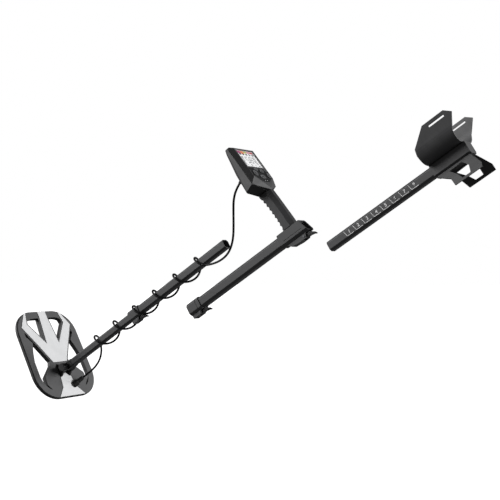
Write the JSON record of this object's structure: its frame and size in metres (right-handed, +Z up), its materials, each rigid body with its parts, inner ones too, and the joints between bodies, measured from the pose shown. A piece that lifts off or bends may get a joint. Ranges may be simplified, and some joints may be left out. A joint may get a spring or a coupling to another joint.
{
  "type": "metal detector",
  "caption": "Handheld metal detector laid out in three sections: search coil on a telescoping stem, grip with tilted control box, and forearm cradle with stand.",
  "frame": {"origin": "the centre of the hand grip", "axes": "+Z up with the stem held at its working slope, +X level towards the elbow, +Y to the user's right; the stem rises towards +X at 32 degrees"},
  "size_m": [1.4174, 0.2728, 0.7027],
  "materials": {
    "tube_paint": "satin charcoal powder coat",
    "housing_plastic": "fine-grained charcoal moulding",
    "dark_plastic": "near-black moulding",
    "grip_rubber": "soft-touch overmould",
    "trim_grey": "light grey satin inlay",
    "lever_plastic": "glass-filled nylon",
    "steel": "zinc-plated steel",
    "copper_winding": "enamelled copper wire bundle",
    "screen_clear": "clear window",
    "lcd": "lit display panel",
    "keypad_membrane": "matte membrane panel",
    "button_grey": "soft grey key tops",
    "light_lens": "diffused lens",
    "board_green": "solder-masked board",
    "battery_wrap": "shrink-wrapped cell",
    "cable_jacket": "black cable jacket",
    "friction_rubber": "friction washers"
  },
  "bodies": {
    "handle_section": {"middle_tube": "tube_paint", "front_collar": "housing_plastic", "front_lever_pin": "steel", "socket_block": "housing_plastic", "rear_lever_pin": "steel", "grip_left": "grip_rubber", "grip_right": "grip_rubber", "grip_screws": "steel", "battery_cell": "battery_wrap", "control_box_housing": "dark_plastic", "control_box_face": "housing_plastic", "control_box_screws": "steel", "screw_plugs": "grip_rubber", "screen_lens": "screen_clear", "lcd_panel": "lcd", "keypad_panel": "keypad_membrane", "status_lights": "light_lens", "circuit_board": "board_green", "speaker": "dark_plastic", "cable_gland": "cable_jacket", "cable_box_lead": "cable_jacket"},
    "front_guide": {"front_guide": "dark_plastic"},
    "rear_guide": {"rear_guide": "dark_plastic"},
    "front_lever": {"front_lever": "lever_plastic"},
    "rear_lever": {"rear_lever": "lever_plastic"},
    "menu_button": {"menu_button": "button_grey"},
    "light_button": {"light_button": "button_grey"},
    "up_button": {"up_button": "button_grey"},
    "down_button": {"down_button": "button_grey"},
    "pinpoint_button": {"pinpoint_button": "button_grey"},
    "power_button": {"power_button": "button_grey"},
    "upper_stem": {"upper_stem_tube": "tube_paint", "stem_collar": "housing_plastic", "stem_lever_pin": "steel", "cable_stem_lead": "cable_jacket", "cable_stem_turns": "cable_jacket"},
    "stem_lever": {"stem_lever": "lever_plastic"},
    "rod": {"rod_tube": "tube_paint", "rod_bush": "dark_plastic", "rod_end_fitting": "dark_plastic", "cable_rod_turns": "cable_jacket"},
    "coil": {"coil_cover": "housing_plastic", "coil_housing": "dark_plastic", "coil_front_trim": "trim_grey", "coil_tail_trim": "trim_grey", "transmit_winding": "copper_winding", "receive_winding": "copper_winding", "coil_strain_relief": "cable_jacket", "pivot_bolt": "dark_plastic", "pivot_washers": "friction_rubber", "cable_coil_bow": "cable_jacket"},
    "pivot_knob": {"pivot_knob": "dark_plastic"},
    "rear_section": {"rear_tube": "tube_paint", "rear_tube_bush": "dark_plastic", "rear_tube_plug": "dark_plastic", "armrest_cup": "housing_plastic", "armrest_saddle": "housing_plastic", "stand": "dark_plastic", "armrest_screws": "steel"}
  },
  "joints": [
    {"name": "lower_section_push_in", "type": "slide", "parent": "handle_section", "child": "front_guide", "axis": [0.848, 0, 0.5299], "range_m": [0, 0.092], "deforming": ["cable_box_lead"]},
    {"name": "lower_section_offer_up", "type": "slide", "parent": "front_guide", "child": "upper_stem", "axis": [-0.2689, -0.4628, -0.8447], "range_m": [0, 0.21608], "deforming": ["cable_stem_lead"]},
    {"name": "rod_telescope", "type": "slide", "parent": "upper_stem", "child": "rod", "axis": [0.848, 0, 0.5299], "range_m": [-0.05, 0.2], "deforming": ["cable_rod_turns"]},
    {"name": "coil_tilt", "type": "hinge", "parent": "rod", "child": "coil", "pos_m": [-0.78253, 0.1, -0.4253], "axis": [0, 1, 0], "range_deg": [-72, 68], "deforming": ["cable_coil_bow"]},
    {"name": "pivot_knob_turn", "type": "hinge", "parent": "coil", "child": "pivot_knob", "pos_m": [-0.78253, 0.1, -0.4253], "axis": [0, -1, 0], "range_deg": [-360, 0]},
    {"name": "rear_section_push_in", "type": "slide", "parent": "handle_section", "child": "rear_guide", "axis": [-0.848, 0, -0.5299], "range_m": [0, 0.08]},
    {"name": "rear_section_offer_up", "type": "slide", "parent": "rear_guide", "child": "rear_section", "axis": [-0.5299, 0, 0.848], "range_m": [0, 0.0765]},
    {"name": "front_lever_flip", "type": "hinge", "parent": "handle_section", "child": "front_lever", "pos_m": [-0.22337, 0, -0.24452], "axis": [0, 1, 0], "range_deg": [0, 100]},
    {"name": "rear_lever_flip", "type": "hinge", "parent": "handle_section", "child": "rear_lever", "pos_m": [0.07393, 0, -0.0617], "axis": [0, 1, 0], "range_deg": [0, 100]},
    {"name": "stem_lever_flip", "type": "hinge", "parent": "upper_stem", "child": "stem_lever", "pos_m": [-0.51418, 0.1, -0.27825], "axis": [0, 1, 0], "range_deg": [0, 100]},
    {"name": "menu_button_press", "type": "slide", "parent": "handle_section", "child": "menu_button", "axis": [-0.7565, 0, -0.654], "range_m": [0, 0.0012], "stiffness_N_per_m": 300, "springref_m": -0.001},
    {"name": "light_button_press", "type": "slide", "parent": "handle_section", "child": "light_button", "axis": [-0.7565, 0, -0.654], "range_m": [0, 0.0012], "stiffness_N_per_m": 300, "springref_m": -0.001},
    {"name": "up_button_press", "type": "slide", "parent": "handle_section", "child": "up_button", "axis": [-0.7565, 0, -0.654], "range_m": [0, 0.0012], "stiffness_N_per_m": 300, "springref_m": -0.001},
    {"name": "down_button_press", "type": "slide", "parent": "handle_section", "child": "down_button", "axis": [-0.7565, 0, -0.654], "range_m": [0, 0.0012], "stiffness_N_per_m": 300, "springref_m": -0.001},
    {"name": "pinpoint_button_press", "type": "slide", "parent": "handle_section", "child": "pinpoint_button", "axis": [-0.7565, 0, -0.654], "range_m": [0, 0.0012], "stiffness_N_per_m": 300, "springref_m": -0.001},
    {"name": "power_button_press", "type": "slide", "parent": "handle_section", "child": "power_button", "axis": [-0.7565, 0, -0.654], "range_m": [0, 0.0012], "stiffness_N_per_m": 300, "springref_m": -0.001}
  ]
}
